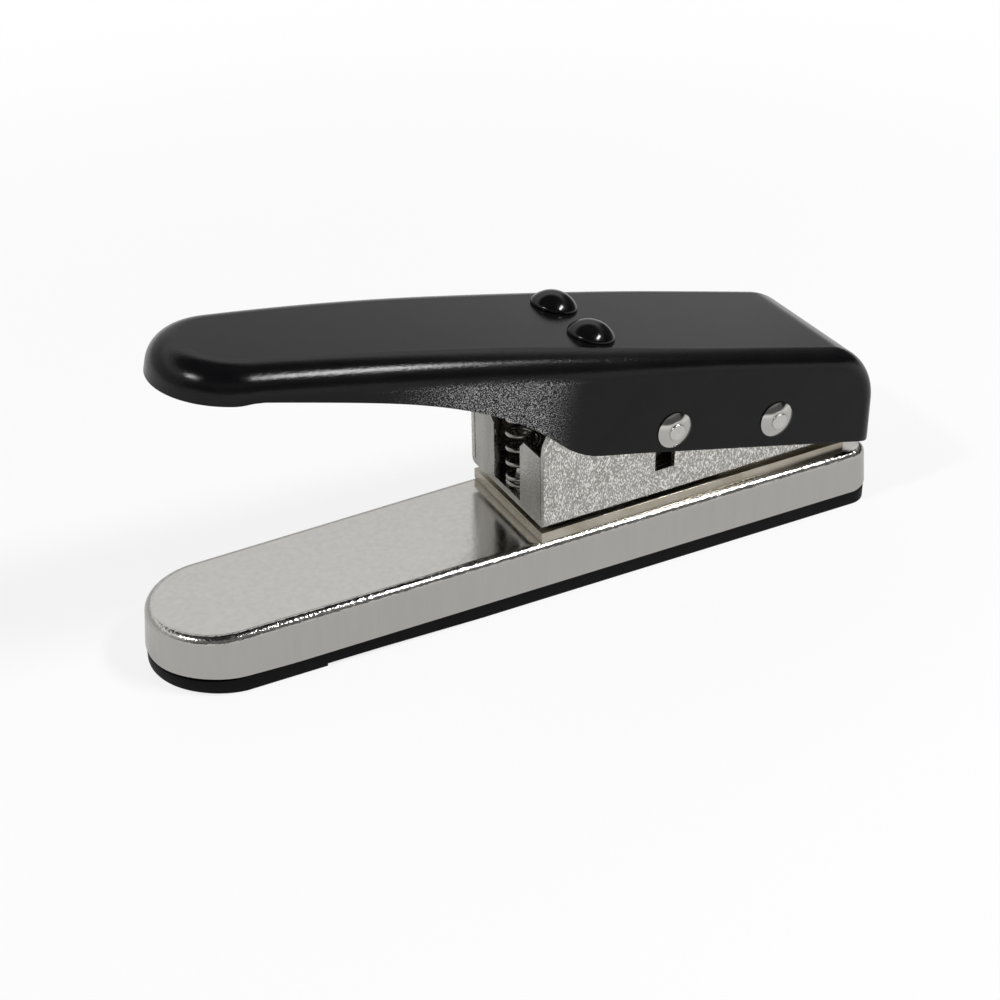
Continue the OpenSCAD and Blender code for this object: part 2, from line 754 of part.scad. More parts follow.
module spring_plate() {
    color(steel) on_handle() difference() {
        translate([plate_front_u, -plate_w / 2, plate_v - plate_t])
            cube([plate_rear_u - plate_front_u, plate_w, plate_t]);
        at_domes() cylinder(d = screw_hole_d, h = 2 * top_rise);
    }
}

module spring_seat() {
    color(steel) translate([spring_x, 0, 0]) {
        plate(spring_top - peg_h, spring_top + eps) circle(d = peg_d);
        intersection() {
            plate(spring_top, spring_top + spring_len) circle(d = seat_d);
            translate([0, 0, plate_under_z]) rotate([0, handle_tilt, 0])
                translate([-spring_len, -spring_len, -2 * spring_len])
                    cube([2 * spring_len, 2 * spring_len, 2 * spring_len]);
        }
    }
}

base_tray();
bottom_cover();
die_plate();
slot_spacer();
punch_bracket();
guide_plate();
guide_screws();
bracket_screws();
bracket_nuts();
hinge_sleeve();
spring_peg();
return_spring();
punch();
punch_carrier();
carrier_screws();
handle_shell();
hinge_pin();
hinge_washers();
hinge_rings();
drive_pin();
drive_washers();
drive_rings();
dome_rivets();
spring_plate();
spring_seat();
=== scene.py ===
# %% [markdown]
# A hand punch for guitar picks. The CAD model is loaded as a fixed frame: it gives every piece its
# place and its body. This script then dresses it, piece by piece, with rounded meshes and node
# materials. The scene is in metres, +X runs from the nose to the hinge and +Z is up.

# %% Load the frame
import math
import bpy
import bmesh
import numpy as np
from mathutils import Matrix, Vector


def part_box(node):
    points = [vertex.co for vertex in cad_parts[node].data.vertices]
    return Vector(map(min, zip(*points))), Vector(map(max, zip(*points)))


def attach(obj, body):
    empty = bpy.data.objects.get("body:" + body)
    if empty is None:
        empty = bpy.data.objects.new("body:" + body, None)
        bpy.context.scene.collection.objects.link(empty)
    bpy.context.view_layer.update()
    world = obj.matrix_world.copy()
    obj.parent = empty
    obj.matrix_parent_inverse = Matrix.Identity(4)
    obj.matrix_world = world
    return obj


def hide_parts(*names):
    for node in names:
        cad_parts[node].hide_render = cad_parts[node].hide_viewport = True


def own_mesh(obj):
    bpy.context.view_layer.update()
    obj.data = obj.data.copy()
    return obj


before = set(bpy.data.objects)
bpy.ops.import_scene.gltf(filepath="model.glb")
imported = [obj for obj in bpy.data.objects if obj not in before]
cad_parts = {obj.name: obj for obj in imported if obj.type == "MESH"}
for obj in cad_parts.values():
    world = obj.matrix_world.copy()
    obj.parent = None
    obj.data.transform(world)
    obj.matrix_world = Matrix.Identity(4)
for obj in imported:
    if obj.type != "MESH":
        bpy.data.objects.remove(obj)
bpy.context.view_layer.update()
scene = bpy.context.scene
mm = 0.001

# %% [markdown]
# The camera looks from the front left and from above, through a long lens, with a slight roll. Its
# three directions are written into the matrix, so no constraint or target object is needed.

# %% Camera
view_az, view_el, view_roll = math.radians(-27.82), math.radians(32.31), -0.014
back = Vector((math.sin(view_az) * math.cos(view_el), -math.cos(view_az) * math.cos(view_el),
               math.sin(view_el)))
level = Vector((math.cos(view_az), math.sin(view_az), 0))
above = back.cross(level)
right = math.cos(view_roll) * level + math.sin(view_roll) * above
up = math.cos(view_roll) * above - math.sin(view_roll) * level
lens = bpy.data.cameras.new("studio_lens")
lens.sensor_width, lens.lens = 36, 72
lens.clip_start = 0.02
camera = bpy.data.objects.new("studio_camera", lens)
scene.collection.objects.link(camera)
stand = Vector((-0.1846, -0.3433, 0.2631))
camera.matrix_world = Matrix.Translation(stand) @ Matrix((right, up, back)).transposed().to_4x4()
scene.camera = camera
print("camera at", tuple(round(c, 4) for c in stand))

# %% [markdown]
# These sizes are in millimetres. They are the ones the CAD model uses, so that a piece made here has the
# same size as the solid it stands for. Three are fitted: the lever's rounding, which grows towards
# the grip, the slight crest of its top, and the base's edge, which is tighter. The lever is drawn in its
# own frame: u runs rearwards from the hinge, v is square to its top, and one matrix turns it into place.

# %% Sizes of the real object
hinge = (58.1, 31.795)
drive = (30.2, 36.895)
tilt = math.radians(13.6)
base_len, base_nose_w, base_rear_w = 177.8, 32.0, 37.2
base_corner_r, base_edge_r, base_flare = 5.0, 2.0, 0.7
cover_top, tray_top, tray_wall = 3.7, 14.4, 1.0
floor_top, guide_top = 20.2, 25.2
handle_half, nose_r, edge_r, sheet = 20.2, 16.9, 4.2, 1.2
nose_back, rear_back = 6.9, 1.3
top_rise, top_crest, bow_start, bow_r, taper_start = 16.1, 0.36, 55.8, 910.0, 33.0
grip_edge_r, grow_start, grow_len = 6.3, 15.0, 60.0
roll_r, heel_r, grip_v = 16.0, 2.0, 7.0


def lever_u(x, v):
    return (x - hinge[0] - v * math.sin(tilt)) / math.cos(tilt)


nose_c = lever_u(nose_back - base_len / 2, grip_v) + nose_r
roll_v = top_rise - roll_r
roll_u = lever_u(base_len / 2 - rear_back - roll_r, roll_v)
lever = Matrix.Translation((hinge[0] * mm, 0, hinge[1] * mm)) @ Matrix.Rotation(tilt, 4, "Y")
print("lever frame starts at", tuple(round(c, 4) for c in lever.translation))
print("nose centre", round(nose_c, 2))

# %% [markdown]
# A few helpers make meshes from points, give them sharp and smooth edges, and hand them to the frame.
# A piece is finished with live modifiers first, and then becomes a plain mesh, because the frame moves
# plain meshes only. Some pieces carry an attribute that tells their finish where it is coarse and where
# bright spots are painted as glints.

# %% Mesh helpers
def piece_from(name, points, faces, matrix=None):
    mesh = bpy.data.meshes.new(name)
    mesh.from_pydata([tuple(p) for p in points], [], faces)
    obj = bpy.data.objects.new(name, mesh)
    scene.collection.objects.link(obj)
    if matrix is not None:
        mesh.transform(matrix)
    return obj


def weld(obj, distance=2e-6):
    bm = bmesh.new()
    bm.from_mesh(obj.data)
    bmesh.ops.remove_doubles(bm, verts=bm.verts, dist=distance)
    bmesh.ops.dissolve_degenerate(bm, dist=distance, edges=bm.edges)
    bmesh.ops.recalc_face_normals(bm, faces=bm.faces)
    bm.to_mesh(obj.data)
    bm.free()


def add_modifier(obj, kind, **values):
    modifier = obj.modifiers.new(kind.lower(), kind)
    for key, value in values.items():
        setattr(modifier, key, value)
    return modifier


def freeze(obj):
    bpy.context.view_layer.update()
    done = bpy.data.meshes.new_from_object(obj.evaluated_get(bpy.context.evaluated_depsgraph_get()))
    obj.modifiers.clear()
    obj.data = done


def shade(obj, angle=35):
    for polygon in obj.data.polygons:
        polygon.use_smooth = True
    obj.data.set_sharp_from_angle(angle=math.radians(angle))


def set_grain_and_glints(obj, values):
    obj.data.attributes.new("grain_and_glints", "FLOAT", "POINT").data.foreach_set("value", values)


def sheet_metal(obj, thickness, edge):
    if sum(p.normal.z * p.area for p in obj.data.polygons) < 0:
        obj.data.flip_normals()
    add_modifier(obj, "SOLIDIFY", thickness=thickness * mm, offset=-1, use_even_offset=True)
    add_modifier(obj, "BEVEL", width=edge * mm, segments=2, limit_method="ANGLE",
                 angle_limit=math.radians(60))
    freeze(obj)
    shade(obj, 40)


def give(obj, material, body, slot, *nodes):
    obj.data.materials.clear()
    obj.data.materials.append(material)
    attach(obj, body)
    if nodes:
        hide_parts(*nodes)
    print(obj.name, "rides on", body, "with", len(obj.data.polygons), "faces")


# %% [markdown]
# Most of the steel pieces are right in the CAD model apart from one thing: their edges are perfectly
# sharp, and no real edge is. A copy of the solid is welded, its flat faces are joined, and a narrow
# bevel goes along every edge, so that each edge catches a thin line of light.

# %% Copies with broken edges
sharp_angle, flat_angle = math.radians(32), math.radians(1.2)
fine_edge, sheared_edge, moulded_edge = 0.15, 0.22, 0.3


def broken_edges(name, node, width, segments=2, first=None):
    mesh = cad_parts[node].data.copy()
    obj = bpy.data.objects.new(name, mesh)
    scene.collection.objects.link(obj)
    bm = bmesh.new()
    bm.from_mesh(mesh)
    bmesh.ops.remove_doubles(bm, verts=bm.verts, dist=1e-6)
    bmesh.ops.dissolve_limit(bm, angle_limit=flat_angle, verts=bm.verts, edges=bm.edges)
    if first is not None:
        first(bm)
    sharp = [e for e in bm.edges if len(e.link_faces) == 2 and e.calc_face_angle(0) > sharp_angle]
    bmesh.ops.bevel(bm, geom=sharp, offset=width * mm, offset_type="OFFSET", segments=segments,
                    profile=0.5, affect="EDGES", clamp_overlap=True)
    bmesh.ops.triangulate(bm, faces=[f for f in bm.faces if len(f.verts) > 4])
    bm.to_mesh(mesh)
    bm.free()
    mesh.materials.clear()
    shade(obj)
    return obj


# %% [markdown]
# Each finish is a node material on Object coordinates. All pieces sit at the origin, so these are the
# coordinates of the CAD frame in metres, and a scale of 1000 means a feature of about a millimetre.
# The helpers below add noise, stretch it, and turn it into colour, flecks, bump or roughness. The first
# two add a sum and a soft step to any node tree, and the light and Geometry Nodes use them too.

# %% Node helpers
def maths(tree, operation, *values):
    node = tree.nodes.new("ShaderNodeMath")
    node.operation = operation
    for entry, value in zip(node.inputs, values):
        if isinstance(value, (int, float)):
            entry.default_value = value
        else:
            tree.links.new(value, entry)
    return node.outputs[0]


def soft_step(tree, value, low, high, start, end):
    node = tree.nodes.new("ShaderNodeMapRange")
    node.interpolation_type = "SMOOTHSTEP"
    for key, number in (("From Min", start), ("From Max", end), ("To Min", low), ("To Max", high)):
        node.inputs[key].default_value = number
    tree.links.new(value, node.inputs["Value"])
    return node.outputs["Result"]


# %% Material helper
class Finish:
    def __init__(self, name, colour, metal, rough, specular=0.5):
        self.material = bpy.data.materials.new(name)
        self.material.use_nodes = True
        self.tree = self.material.node_tree
        self.shader = self.tree.nodes["Principled BSDF"]
        self.shader.inputs["Base Color"].default_value = (*colour, 1)
        self.shader.inputs["Metallic"].default_value = metal
        self.shader.inputs["Roughness"].default_value = rough
        self.shader.inputs["Specular IOR Level"].default_value = specular
        self.place = self.node("ShaderNodeTexCoord").outputs["Object"]
        self.height = None

    def node(self, kind, **values):
        made = self.tree.nodes.new(kind)
        for key, value in values.items():
            setattr(made, key, value)
        return made

    def link(self, source, target):
        self.tree.links.new(source, target)

    def noise(self, scale, stretch=(1, 1, 1), detail=3, rough=0.5):
        mapping = self.node("ShaderNodeMapping")
        mapping.inputs["Scale"].default_value = stretch
        texture = self.node("ShaderNodeTexNoise")
        texture.inputs["Scale"].default_value = scale
        texture.inputs["Detail"].default_value = detail
        texture.inputs["Roughness"].default_value = rough
        self.link(self.place, mapping.inputs["Vector"])
        self.link(mapping.outputs["Vector"], texture.inputs["Vector"])
        return texture.outputs["Fac"]

    def spread(self, value, low, high, start=0.3, end=0.7):
        return soft_step(self.tree, value, low, high, start, end)

    def attribute(self, name):
        return self.node("ShaderNodeAttribute", attribute_name=name).outputs["Fac"]

    def times(self, first, second):
        return maths(self.tree, "MULTIPLY", first, second)

    def vary_rough(self, value, low, high):
        self.link(self.spread(value, low, high), self.shader.inputs["Roughness"])

    def vary_colour(self, value, dark, light):
        mix = self.node("ShaderNodeMix", data_type="RGBA")
        mix.inputs["A"].default_value = (*dark, 1)
        mix.inputs["B"].default_value = (*light, 1)
        self.link(self.spread(value, 0, 1), mix.inputs["Factor"])
        self.link(mix.outputs["Result"], self.shader.inputs["Base Color"])

    # Mixes bright spots into the colour: painted glints, which stand in for the sparkle of light.
    def painted_glints(self, value, colour, metal):
        ground_colour = self.shader.inputs["Base Color"].links[0].from_socket
        mix = self.node("ShaderNodeMix", data_type="RGBA")
        mix.inputs["B"].default_value = (*colour, 1)
        self.link(ground_colour, mix.inputs["A"])
        self.link(value, mix.inputs["Factor"])
        self.link(mix.outputs["Result"], self.shader.inputs["Base Color"])
        if metal:
            self.link(value, self.shader.inputs["Metallic"])

    def bump(self, value, strength, depth_mm):
        node = self.node("ShaderNodeBump")
        node.inputs["Strength"].default_value = strength
        node.inputs["Distance"].default_value = depth_mm * mm
        self.link(value, node.inputs["Height"])
        if self.height is not None:
            self.link(self.height, node.inputs["Normal"])
        self.height = node.outputs["Normal"]
        self.link(self.height, self.shader.inputs["Normal"])


# %% [markdown]
# Powder coat is a thick black skin with a fine orange peel: soft bumps about half a millimetre across,
# which break a highlight up. Where the sheet was drawn hardest the coat is coarser, and bright metal spots
# are painted there as glints, standing in for the sparkle of light on that coarse peel. One noise gives
# the peel and another the painted glints, and an attribute of the piece says how strong each is.

# %% Black coats and plastic
coat = Finish("black_powder_coat", (0.0034, 0.0034, 0.0040), 0, 0.2, 0.2)
coat.vary_colour(coat.noise(140, detail=4), (0.0028, 0.0028, 0.0033), (0.0042, 0.0042, 0.0048))
coat.vary_rough(coat.noise(1500, detail=3), 0.13, 0.18)
painted_glint_zone = coat.spread(coat.attribute("grain_and_glints"), 0, 1, 0.5, 1.7)
painted_sparks = coat.spread(coat.noise(4000, detail=2, rough=0.6), 0, 1, 0.49, 0.62)
# Painted glints: bright metal spots only on the ramp of the S, standing in for the sparkle of light there.
coat.painted_glints(coat.times(painted_sparks, painted_glint_zone), (0.48, 0.48, 0.48), True)
coat.bump(coat.times(coat.noise(2000, detail=3, rough=0.6), coat.attribute("grain_and_glints")), 1.0, 0.12)

gloss = Finish("black_gloss_enamel", (0.003, 0.003, 0.0034), 0, 0.14, 0.25)
gloss.vary_rough(gloss.noise(500, detail=2), 0.12, 0.2)
gloss.bump(gloss.noise(420, detail=1), 0.10, 0.05)

plastic = Finish("black_moulded_plastic", (0.004, 0.004, 0.0046), 0, 0.5, 0.08)
plastic.vary_colour(plastic.noise(120, detail=3), (0.0034, 0.0034, 0.004), (0.005, 0.005, 0.0058))
plastic.vary_rough(plastic.noise(700, detail=3), 0.44, 0.58)
plastic.bump(plastic.noise(3200, detail=2), 0.25, 0.03)

oxide = Finish("black_oxide", (0.03, 0.03, 0.032), 0.6, 0.42)
oxide.vary_rough(oxide.noise(800), 0.34, 0.5)
print("black finishes:", [f.material.name for f in (coat, gloss, plastic, oxide)])

# %% [markdown]
# Nickel plate is warm grey and nearly a mirror. The pressed base is smooth on its flats and rougher along
# its rounded edge, the bracket's outer walls have upright streaks from the press tool and bright spots
# painted as glints, standing in for the sparkle of light on their textured face, and the washers are
# turned and bright. An attribute of each piece says where the roughness and the painted spots are.

# %% Nickel finishes
nickel = Finish("satin_nickel_plate", (0.472, 0.46, 0.436), 1, 0.2)
nickel.vary_colour(nickel.noise(650, (1, 1, 0.1), detail=4), (0.466, 0.454, 0.43), (0.478, 0.466, 0.442))
nickel.vary_rough(nickel.noise(900, (1, 1, 0.35), detail=4), 0.14, 0.2)
nickel.bump(nickel.times(nickel.noise(1500, detail=2), nickel.attribute("grain_and_glints")), 1.0, 0.06)

pressed = Finish("grained_nickel_sheet", (0.45, 0.44, 0.415), 1, 0.22)
pressed.vary_colour(pressed.noise(260, (1, 1, 0.4), detail=4), (0.34, 0.33, 0.305), (0.40, 0.39, 0.365))
painted_specks = pressed.spread(pressed.noise(3900, (1, 1, 0.5), detail=3, rough=0.6), 0, 1, 0.47, 0.62)
# Painted glints: bright spots in the colour of the bracket's outer walls, standing in for the sparkle of
# light.
pressed.painted_glints(pressed.times(painted_specks, pressed.attribute("grain_and_glints")), (0.96, 0.945, 0.90), False)
pressed.vary_rough(pressed.noise(1100, (1, 1, 0.25), detail=3), 0.16, 0.28)
pressed.bump(pressed.noise(1700, detail=2), 0.8, 0.16)
pressed.bump(pressed.noise(1700, (1, 1, 0.06), detail=2), 0.5, 0.08)

bright = Finish("bright_nickel_plate", (0.5, 0.49, 0.465), 1, 0.12)
bright.vary_rough(bright.noise(900, detail=3), 0.06, 0.14)
bright.bump(bright.noise(900, detail=1), 0.12, 0.04)
print("nickel finishes:", [f.material.name for f in (nickel, pressed, bright)])

# %% [markdown]
# The plain steels differ in how they were worked: the cutting pieces are ground, which leaves fine
# straight lines, the small parts are zinc plated and a little cloudy, the pins' ends were hammered
# over, and the spring is drawn wire with a dark skin.

# %% Steel finishes
ground = Finish("ground_tool_steel", (0.46, 0.42, 0.35), 1, 0.32)
ground.vary_rough(ground.noise(2600, (0.04, 1, 1), detail=3), 0.24, 0.42)
ground.bump(ground.noise(3000, (0.03, 1, 1), detail=2), 0.22, 0.02)
ground.vary_colour(ground.noise(110, detail=4), (0.40, 0.36, 0.29), (0.52, 0.48, 0.41))

zinc = Finish("zinc_plated_steel", (0.52, 0.52, 0.50), 1, 0.34)
zinc.vary_rough(zinc.noise(650, detail=4), 0.26, 0.44)
zinc.vary_colour(zinc.noise(240, detail=4), (0.47, 0.47, 0.45), (0.56, 0.56, 0.54))
zinc.bump(zinc.noise(1600, detail=2), 0.12, 0.03)

hammered = Finish("hammered_pin_steel", (0.60, 0.595, 0.57), 1, 0.28)
hammered.vary_rough(hammered.noise(1500, detail=3), 0.2, 0.42)
hammered.bump(hammered.noise(1050, detail=3, rough=0.65), 0.55, 0.16)

wire = Finish("drawn_spring_wire", (0.34, 0.325, 0.30), 1, 0.22)
wire.vary_rough(wire.noise(1300, detail=3), 0.16, 0.34)
wire.vary_colour(wire.noise(420, detail=3), (0.27, 0.255, 0.235), (0.42, 0.405, 0.38))
wire.bump(wire.noise(2600, detail=2), 0.10, 0.02)
print("steel finishes:", [f.material.name for f in (ground, zinc, hammered, wire)])

# %% [markdown]
# The lever is one drawn shell: a nearly flat top that bows down to the nose, a rounded edge that grows
# softer towards the grip, and straight sides cut to a long S below. Sculpting could give the form but not
# the exact radius, so it is built as a grid. A rail runs where the centre of the rounding lies, from the
# nose tip along one side and down the rear. Each step of the rail holds that centre, the directions of the
# side and of the top, and the radius. The section there is the side, the rounding, then the top.

# %% Lever outline
def clamped(t):
    return min(max(t, 0), 1)


def eased(t):
    return t * t * (3 - 2 * t)


def top_height(u):
    if u < -bow_start:
        return top_rise + top_crest - (u + bow_start) ** 2 / (2 * bow_r)
    return top_rise + top_crest * (1 - ((u + bow_start) / (roll_u + bow_start)) ** 2)


def edge_at(u):
    return edge_r + (grip_edge_r - edge_r) * eased(clamped((-u - grow_start) / grow_len))


skirt_front, skirt_rear, skirt_end = 7.1, 7.0, 46.5
ramp_bend, ramp_slope, ramp_len = 12.0, 0.6, 92.0
nose_lip, lip_run, lip_slope = 0.7, 6.4, 0.14
heel_u = lever_u(base_len / 2 - rear_back, -skirt_rear) - heel_r / math.tan(math.pi / 4 - tilt / 2)


def lower_edge(u):
    if u > -skirt_end:
        return -skirt_front + (skirt_front - skirt_rear) * (u + skirt_end) / (heel_u + skirt_end)
    ramp_v = ramp_bend * ramp_slope / 2 - skirt_front
    along = -u - skirt_end
    if along < ramp_bend:
        return -skirt_front + (ramp_v + skirt_front) * (along / ramp_bend) ** 2
    rise = grip_v - ramp_v
    left = max(0, 1 - (along - ramp_bend) / ramp_len)
    lip_u = nose_c - lip_run / 4
    drop = nose_lip * eased(clamped((lip_u - u) / lip_run + 0.5)) + lip_slope * max(0, lip_u - u)
    return grip_v - rise * left ** (ramp_slope * ramp_len / rise) - drop


print("lower edge at the hinge", round(lower_edge(0), 2), "and at the nose", round(lower_edge(nose_c), 2))

# %% Lever rail
nose_steps, side_steps, rear_steps, roll_steps = 30, 44, 20, 18
probe, side_halvings = 0.1, 60


def side_start():
    low, high = math.radians(90.1), math.radians(110)
    for _ in range(side_halvings):
        a = (low + high) / 2
        reach = nose_c + nose_r * math.cos(a) + taper_start
        miss = handle_half - reach / math.tan(a) / 2 - nose_r * math.sin(a)
        low, high = (a, high) if miss > 0 else (low, a)
    return a, 1 / math.tan(a) / (2 * reach)


def lever_rail():
    start, curve = side_start()
    steps = []
    inner = nose_r - grip_edge_r
    for a in np.linspace(math.pi, start, nose_steps):
        steps.append(((nose_c + inner * math.cos(a), inner * math.sin(a)), (math.cos(a), math.sin(a))))
    for u in np.linspace(nose_c + nose_r * math.cos(start), -taper_start, side_steps)[1:]:
        slope = -2 * curve * (u + taper_start)
        out = np.array((-slope, 1.0)) / math.hypot(slope, 1)
        spot = np.array((u, handle_half - curve * (u + taper_start) ** 2)) - edge_at(u) * out
        steps.append((tuple(spot), tuple(out)))
    for u in np.linspace(-taper_start, roll_u, rear_steps)[1:]:
        steps.append(((u, handle_half - edge_at(u)), (0.0, 1.0)))
    rail = []
    for (u, y), (out_u, out_y) in steps:
        slope = (top_height(u + probe) - top_height(u - probe)) / (2 * probe)
        rail.append((np.array((u, y, top_height(u) - edge_at(u))), np.array((out_u, out_y, 0.0)),
                     np.array((-slope, 0.0, 1.0)) / math.hypot(slope, 1), edge_at(u)))
    reach = roll_r - edge_r
    for b in np.linspace(0, math.pi / 2 - tilt, roll_steps)[1:]:
        top = np.array((math.sin(b), 0.0, math.cos(b)))
        centre = np.array((roll_u, handle_half - edge_r, roll_v)) + reach * top
        rail.append((centre, np.array((0.0, 1.0, 0.0)), top, edge_r))
    return rail


rail = lever_rail()
print("lever rail has", len(rail), "steps and side curve", [round(c, 5) for c in side_start()])

# %% [markdown]
# The shell is swept over the rail, mirrored to the far side, and given its sheet thickness with
# Solidify. The last rows run down the straight rear face to a lower edge with a small round heel. The
# sides lean out a little along the ramp of the S, where the lip was drawn over, and the coat is coarsest
# there and carries painted glints, which stand in for the sparkle of light on that part.

# %% Lever sections
side_rows = [0, 0.02, 0.1, 0.2, 0.3, 0.4, 0.5, 0.62, 0.78, 0.97]
top_rows = [0.03, 0.15, 0.35, 0.6, 0.8]
fillet_rows, rear_rows = 16, 6
roll_index = len(rail) - roll_steps
rear_down = np.array((math.sin(tilt), 0.0, -math.cos(tilt)))
heel_v, longest_drop, drop_halvings = heel_r - skirt_rear, 14.0, 40


def heel_edge(u):
    if u < heel_u:
        return lower_edge(u)
    return heel_v - math.sqrt(max(heel_r ** 2 - (u - heel_u) ** 2, 0))


def dropped(point, share):
    low, high = 0.0, longest_drop
    for _ in range(drop_halvings):
        mid = (low + high) / 2
        spot = point + mid * rear_down
        low, high = (mid, high) if spot[2] > heel_edge(spot[0]) else (low, mid)
    return point + share * low * rear_down


def lip_lean(u, share):
    middle, reach, most, highest = -66.0, 34.0, 0.9, 0.75
    across = max(0, 1 - ((u - middle) / reach) ** 2) ** 2
    return most * across * max(0, 1 - share / highest) ** 2


corner_u = dropped(rail[-1][0] + rail[-1][3] * rail[-1][1], 1.0)[0]


def section(index, last_share=None):
    centre, out, top, radius = rail[index]
    start = centre + radius * out
    angle = math.acos(float(np.clip(out @ top, -1, 1)))
    rounding = []
    for t in np.linspace(0, 1, fillet_rows + 1):
        turned = math.sin((1 - t) * angle) * out + math.sin(t * angle) * top
        rounding.append(centre + radius * turned / math.sin(angle))
    if last_share is not None:
        rounding = [dropped(p, last_share) for p in rounding]
        start = rounding[0]
    foot = np.array((start[0], start[1], lower_edge(start[0])))
    if index >= roll_index:
        total = len(rail) - 1 - roll_index + rear_rows
        done = (index - roll_index + (0 if last_share is None else last_share * rear_rows)) / total
        foot_u = roll_u + (corner_u - roll_u) * done
        foot = np.array((foot_u, start[1], lower_edge(foot_u)))
    side = [foot + (start - foot) * s + out * lip_lean(foot[0], s) for s in side_rows]
    flat = [rounding[-1] * (1, 1 - t, 1) for t in top_rows]
    return side + rounding + flat


half = [section(i) for i in range(len(rail))]
half += [section(len(rail) - 1, k / rear_rows) for k in range(1, rear_rows + 1)]
print("half of the lever has", len(half), "sections of", len(half[0]), "points")

# %% Lever shell
side_grain, edge_grain, top_grain, edge_fade = 0.2, 0.34, 0.12, 0.3
# The ramp's hump makes the coat coarser there and also places the painted glint spots.
ramp_grain_and_glints, ramp_u, ramp_fore, ramp_aft = 1.5, -71.0, 26.0, 13.5
lever_rim_edge = 0.25


def grain_and_glints_of(row_index, u):
    hump = ramp_grain_and_glints * math.exp(-((u - ramp_u) / (ramp_fore if u < ramp_u else ramp_aft)) ** 2)
    along = (row_index - len(side_rows)) / fillet_rows
    if along < 0:
        return side_grain + hump
    if along <= 1:
        return edge_grain + hump * max(0, 1 - along / edge_fade) ** 2
    return top_grain


points, faces, grain_and_glints = [], [], []
width = 2 * len(half[0]) + 1
for row in half:
    mid = row[-1] * (1, 0, 1)
    points += row + [mid] + [p * (1, -1, 1) for p in reversed(row)]
    row_grain_and_glints = [grain_and_glints_of(k, p[0]) for k, p in enumerate(row)]
    grain_and_glints += row_grain_and_glints + [row_grain_and_glints[-1]] + row_grain_and_glints[::-1]
for i in range(len(half) - 1):
    for j in range(width - 1):
        a = i * width + j
        faces.append((a, a + 1, a + width + 1, a + width))
shell = piece_from("lever_shell", points, faces, lever @ Matrix.Scale(mm, 4))
set_grain_and_glints(shell, grain_and_glints)
weld(shell)
sheet_metal(shell, sheet, lever_rim_edge)
give(shell, coat.material, "handle", "black_coat", "handle_shell")

# %% [markdown]
# The base is pressed from sheet: one outline with a round nose, straight sides and two rear corners,
# a rounded upper edge and a flat top with the pick's hole. Loops of the outline, drawn in step by step,
# give the wall and the rounding. The top is filled between the last loop and the hole. The press lifted
# the wall's lower edge a little at the nose and at the rear corners.

# %% Outlines of the base and the pick
nose_count, corner_count, tip_count, back_count, stretch = 72, 14, 24, 48, 4
pick_tip_x, pick_back_x, pick_tip_r, pick_back_r, pick_gap = 17.2, 29.2, 5, 13, 1.0


def tangent_arc(centre, radius, start, end, count):
    turns = [(math.cos(a), math.sin(a)) for a in np.linspace(start, end, count)]
    return [((centre[0] + radius * c, centre[1] + radius * s), (c, s)) for c, s in turns]


def base_outline():
    nose = (-base_len / 2 + base_nose_w / 2, 0)
    corner = (base_len / 2 - base_corner_r, base_rear_w / 2 - base_corner_r)
    run = math.hypot(corner[0] - nose[0], corner[1])
    lean = math.atan2(corner[1], corner[0] - nose[0]) + math.acos((base_nose_w / 2 - base_corner_r) / run)
    line = tangent_arc(nose, base_nose_w / 2, lean, 2 * math.pi - lean, nose_count)
    line += tangent_arc((corner[0], -corner[1]), base_corner_r, -lean, 0, corner_count)
    line += tangent_arc(corner, base_corner_r, 0, lean, corner_count)
    whole = []
    for (p, n), (q, m) in zip(line, line[1:] + line[:1]):
        parts = max(1, round(math.hypot(q[0] - p[0], q[1] - p[1]) / stretch))
        for t in (k / parts for k in range(parts)):
            whole.append(((p[0] + (q[0] - p[0]) * t, p[1] + (q[1] - p[1]) * t),
                          (n[0] + (m[0] - n[0]) * t, n[1] + (m[1] - n[1]) * t)))
    return whole


def loop_at(inset, z):
    return [(x - inset * nx, y - inset * ny, z) for (x, y), (nx, ny) in base_outline()]


def pick_outline(grow):
    lean = math.acos((pick_tip_r - pick_back_r) / (pick_back_x - pick_tip_x))
    line = tangent_arc((pick_tip_x, 0), pick_tip_r + grow, lean, 2 * math.pi - lean, tip_count)
    line += tangent_arc((pick_back_x, 0), pick_back_r + grow, -lean, lean, back_count)
    return [p for p, _ in line]


print("base outline has", len(base_outline()), "points, the pick's hole", len(pick_outline(pick_gap)))

# %% Pressed base
def stacked_loops(name, loops, hole, z):
    size = len(loops[0])
    points = [p for loop in loops for p in loop]
    faces = []
    for i in range(len(loops) - 1):
        for j in range(size):
            a, b = i * size + j, i * size + (j + 1) % size
            faces.append((a, b, b + size, a + size))
    obj = piece_from(name, points + [(x, y, z) for x, y in hole], faces)
    bm = bmesh.new()
    bm.from_mesh(obj.data)
    bm.verts.ensure_lookup_table()
    first = (len(loops) - 1) * size
    rim = [bm.edges.get((bm.verts[first + j], bm.verts[first + (j + 1) % size])) for j in range(size)]
    count = len(hole)
    last = len(loops) * size
    rim += [bm.edges.new((bm.verts[last + j], bm.verts[last + (j + 1) % count])) for j in range(count)]
    bmesh.ops.triangle_fill(bm, use_beauty=True, use_dissolve=False, edges=rim, normal=(0, 0, 1))
    bm.to_mesh(obj.data)
    bm.free()
    obj.data.transform(Matrix.Scale(mm, 4))
    weld(obj)
    return obj


wall_h = tray_top - base_edge_r - cover_top
edge_lift, nose_from, nose_run, heel_from, heel_run = 0.85, 26, 18, 5, 4
wave_size, wave_len = 0.15, 2.6
wall_shares, bend_count, flat_inset, tray_rim_edge = (0, 0.03, 0.25, 0.5, 0.96), 11, 0.3, 0.15


